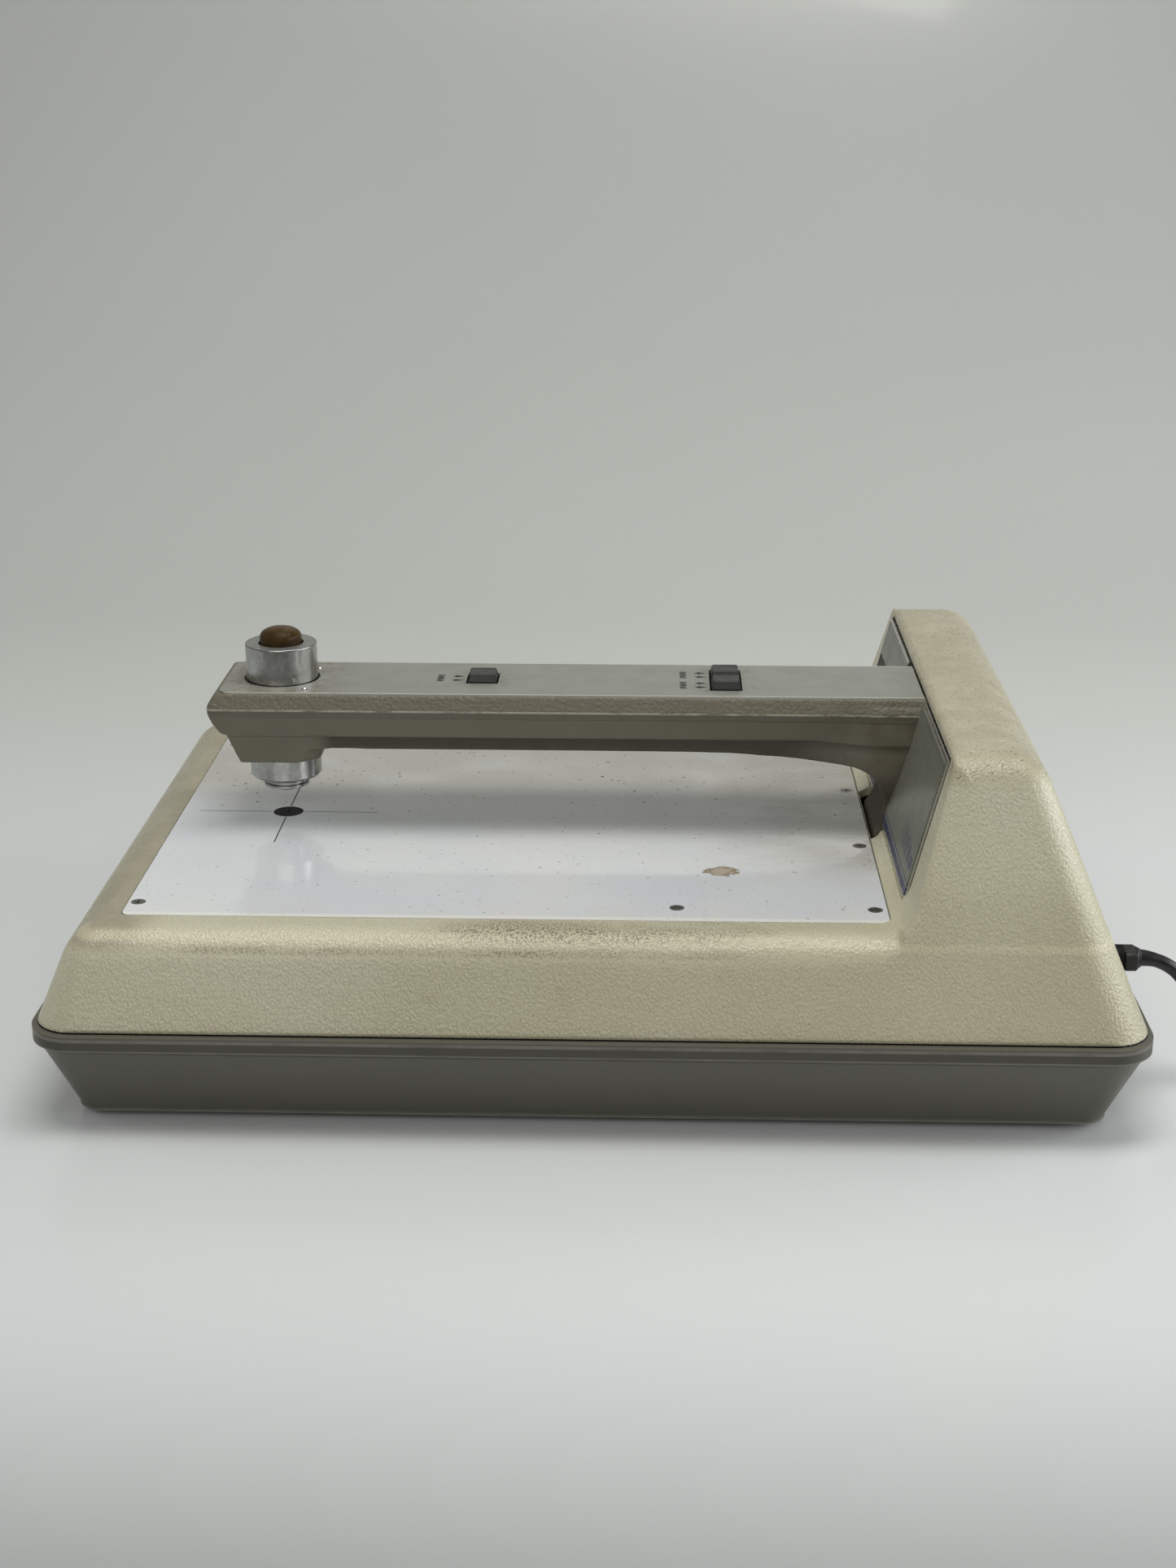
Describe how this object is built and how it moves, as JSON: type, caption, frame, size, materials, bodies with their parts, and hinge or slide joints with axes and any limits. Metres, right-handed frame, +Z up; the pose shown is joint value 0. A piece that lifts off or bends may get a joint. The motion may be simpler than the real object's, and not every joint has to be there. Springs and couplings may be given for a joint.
{
  "type": "transmission densitometer",
  "caption": "Table-top film densitometer: light table in a sloped case, with a fixed arm that carries a sprung reading tube over the aperture.",
  "frame": {"origin": "centre of the tray's flat underside; the rubber feet stand 3 mm below it", "axes": "+X along the case from the reading aperture towards the tower, +Y across it towards the readout half, +Z up"},
  "size_m": [0.5177, 0.301, 0.1587],
  "materials": {
    "tray_plastic": "smooth moulded, satin",
    "foot_rubber": "matt",
    "screw_steel": "plain zinc",
    "gasket_rubber": "matt",
    "shell_plastic": "fine moulded grain, yellowed",
    "table_acrylic": "polished opal",
    "black_ink": "filled line",
    "black_plastic": "satin",
    "white_plastic": "satin",
    "lamp_glass": "phosphor coated",
    "sheet_aluminium": "plain sheet",
    "ceramic": "unglazed",
    "clear_glass": "polished",
    "panel_aluminium": "bare cut edge",
    "panel_film": "glossy printed film",
    "smoked_acrylic": "smoked red",
    "digit_plastic": "satin",
    "circuit_board": "solder mask",
    "pedestal_steel": "plated sheet",
    "casting_paint": "textured satin paint",
    "label_paint": "satin printed plate",
    "chrome_screws": "polished",
    "bushing_bronze": "sintered",
    "ribbon_plastic": "satin",
    "tube_aluminium": "turned satin",
    "filter_glass": "tinted",
    "spring_steel": "drawn wire",
    "button_amber": "worn gloss",
    "key_plastic": "satin",
    "lead_plastic": "moulded",
    "lead_rubber": "glossy"
  },
  "bodies": {
    "base": {"base_tray": "tray_plastic", "rubber_feet": "foot_rubber", "case_screws": "screw_steel", "case_gasket": "gasket_rubber", "top_shell": "shell_plastic", "light_table": "table_acrylic", "table_screws": "screw_steel", "crosshair_inlay": "black_ink", "aperture_disc": "black_plastic", "light_box": "white_plastic", "backlight_lamps": "lamp_glass", "lamp_sockets": "white_plastic", "lamp_house": "sheet_aluminium", "lamp_holder": "ceramic", "read_lamp": "clear_glass", "lens_barrel": "black_plastic", "condenser_lens": "clear_glass", "panel_near": "panel_aluminium", "panel_far": "panel_aluminium", "overlay_near": "panel_film", "overlay_far": "panel_film", "display_window": "smoked_acrylic", "display_module": "black_plastic", "display_digits": "digit_plastic", "main_board": "circuit_board", "board_components": "black_plastic", "board_standoffs": "screw_steel", "board_screws": "screw_steel", "lamp_ballast": "sheet_aluminium", "arm_pedestal": "pedestal_steel", "pedestal_screws": "screw_steel", "arm_bolts": "screw_steel", "arm_casting": "casting_paint", "arm_label": "label_paint", "label_screws": "chrome_screws", "guide_bushing": "bushing_bronze", "key_board": "circuit_board", "key_switches": "black_plastic", "arm_ribbon": "ribbon_plastic", "tube_spring": "spring_steel", "power_jack": "black_plastic", "power_plug": "lead_plastic", "power_lead": "lead_rubber", "lead_connector": "lead_plastic"},
    "optics": {"optics_tube": "tube_aluminium", "retaining_ring": "screw_steel", "nose_collar": "tube_aluminium", "nose_tip": "black_plastic", "detector_filter": "filter_glass", "detector": "sheet_aluminium", "detector_board": "circuit_board", "read_switch": "black_plastic"},
    "read_button": {"read_button": "button_amber"},
    "key_front": {"key_front": "key_plastic"},
    "key_near": {"key_near": "key_plastic"},
    "key_far": {"key_far": "key_plastic"}
  },
  "joints": [
    {"name": "tube_slide", "type": "slide", "parent": "base", "child": "optics", "axis": [0, 0, -1], "range_m": [0, 0.0113], "deforming": ["tube_spring"]},
    {"name": "button_press", "type": "slide", "parent": "optics", "child": "read_button", "axis": [0, 0, -1], "range_m": [0, 0.0018]},
    {"name": "key_front_press", "type": "slide", "parent": "base", "child": "key_front", "axis": [0, 0, -1], "range_m": [0, 0.0015]},
    {"name": "key_near_press", "type": "slide", "parent": "base", "child": "key_near", "axis": [0, 0, -1], "range_m": [0, 0.0015]},
    {"name": "key_far_press", "type": "slide", "parent": "base", "child": "key_far", "axis": [0, 0, -1], "range_m": [0, 0.0015]}
  ]
}
